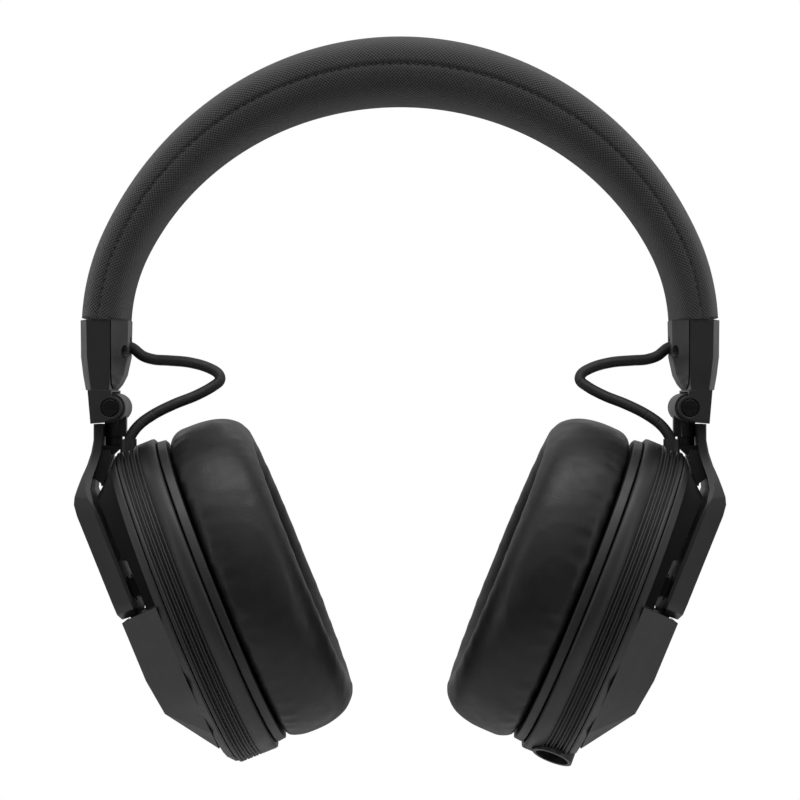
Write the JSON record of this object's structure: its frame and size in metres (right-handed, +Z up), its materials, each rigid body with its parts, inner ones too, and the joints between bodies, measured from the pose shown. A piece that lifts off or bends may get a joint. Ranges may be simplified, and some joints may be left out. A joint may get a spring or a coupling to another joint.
{
  "type": "over ear headphones",
  "caption": "Over ear headphones with a padded fabric headband, sliding, folding, swivelling and tilting ear cups, leather ear pads and short link cables.",
  "frame": {"origin": "middle of the headband's underside, where the head meets it", "axes": "+X to the wearer's left, +Y backward, +Z up; the wearer faces -Y"},
  "size_m": [0.1794, 0.077, 0.2014],
  "materials": {
    "headband_fabric": "fine basket weave, black",
    "satin_plastic": "satin black moulded plastic",
    "ring_plastic": "black moulded plastic, ribbed",
    "inner_plastic": "black moulded plastic, unseen inside",
    "pad_leather": "smooth black synthetic leather",
    "speaker_fabric": "black open speaker cloth",
    "cable_rubber": "black soft cable jacket",
    "black_metal": "black coated steel",
    "slider_steel": "brushed stainless steel",
    "spring_steel": "spring steel strip",
    "driver_film": "thin translucent film, modelled opaque",
    "jack_metal": "nickel plated contact sleeve",
    "board": "printed circuit board"
  },
  "bodies": {
    "headband": {"band_top_cover": "headband_fabric", "band_cushion": "headband_fabric", "band_spring": "spring_steel", "end_cap_outer_left": "satin_plastic", "end_cap_inner_left": "satin_plastic", "end_cap_screw_left": "black_metal", "slide_rail_left": "inner_plastic", "cap_gland_left": "cable_rubber", "link_cable_left": "cable_rubber", "end_cap_outer_right": "satin_plastic", "end_cap_inner_right": "satin_plastic", "end_cap_screw_right": "black_metal", "slide_rail_right": "inner_plastic", "cap_gland_right": "cable_rubber", "link_cable_right": "cable_rubber"},
    "slider_left": {"slider_bar_left": "slider_steel", "fold_block_left": "satin_plastic", "fold_pin_left": "black_metal"},
    "knuckle_left": {"fold_knuckle_left": "satin_plastic", "swivel_pin_left": "slider_steel", "swivel_collar_left": "satin_plastic"},
    "yoke_left": {"yoke_arm_left": "satin_plastic", "tilt_pin_left": "slider_steel"},
    "cup_left": {"cup_housing_left": "satin_plastic", "ribbed_ring_left": "ring_plastic", "baffle_left": "inner_plastic", "driver_frame_left": "inner_plastic", "driver_magnet_left": "slider_steel", "diaphragm_left": "driver_film", "pad_flange_left": "ring_plastic", "speaker_cloth_left": "speaker_fabric", "ear_cushion_left": "pad_leather", "cup_gland_left": "cable_rubber", "cable_socket_left": "satin_plastic", "socket_jack_left": "jack_metal", "socket_board_left": "board"},
    "slider_right": {"slider_bar_right": "slider_steel", "fold_block_right": "satin_plastic", "fold_pin_right": "black_metal"},
    "knuckle_right": {"fold_knuckle_right": "satin_plastic", "swivel_pin_right": "slider_steel", "swivel_collar_right": "satin_plastic"},
    "yoke_right": {"yoke_arm_right": "satin_plastic", "tilt_pin_right": "slider_steel"},
    "cup_right": {"cup_housing_right": "satin_plastic", "ribbed_ring_right": "ring_plastic", "baffle_right": "inner_plastic", "driver_frame_right": "inner_plastic", "driver_magnet_right": "slider_steel", "diaphragm_right": "driver_film", "pad_flange_right": "ring_plastic", "speaker_cloth_right": "speaker_fabric", "ear_cushion_right": "pad_leather", "cup_gland_right": "cable_rubber"}
  },
  "joints": [
    {"name": "slide_left", "type": "slide", "parent": "headband", "child": "slider_left", "axis": [-0.0523, 0, -0.9986], "range_m": [0, 0.02], "deforming": ["link_cable_left"]},
    {"name": "fold_left", "type": "hinge", "parent": "slider_left", "child": "knuckle_left", "pos_m": [0.0793, 0, -0.0837], "axis": [0, 1, 0], "range_deg": [0, 80]},
    {"name": "swivel_left", "type": "hinge", "parent": "knuckle_left", "child": "yoke_left", "pos_m": [0.0794, 0, -0.094], "axis": [0, 0, 1], "range_deg": [-90, 90]},
    {"name": "tilt_left", "type": "hinge", "parent": "yoke_left", "child": "cup_left", "pos_m": [0.07575, 0, -0.13429], "axis": [0, 1, 0], "range_deg": [-10, 0]},
    {"name": "slide_right", "type": "slide", "parent": "headband", "child": "slider_right", "axis": [0.0523, 0, -0.9986], "range_m": [0, 0.02], "deforming": ["link_cable_right"]},
    {"name": "fold_right", "type": "hinge", "parent": "slider_right", "child": "knuckle_right", "pos_m": [-0.0793, 0, -0.0837], "axis": [0, 1, 0], "range_deg": [-80, 0]},
    {"name": "swivel_right", "type": "hinge", "parent": "knuckle_right", "child": "yoke_right", "pos_m": [-0.0794, 0, -0.094], "axis": [0, 0, 1], "range_deg": [-90, 90]},
    {"name": "tilt_right", "type": "hinge", "parent": "yoke_right", "child": "cup_right", "pos_m": [-0.07575, 0, -0.13429], "axis": [0, 1, 0], "range_deg": [0, 10]}
  ]
}
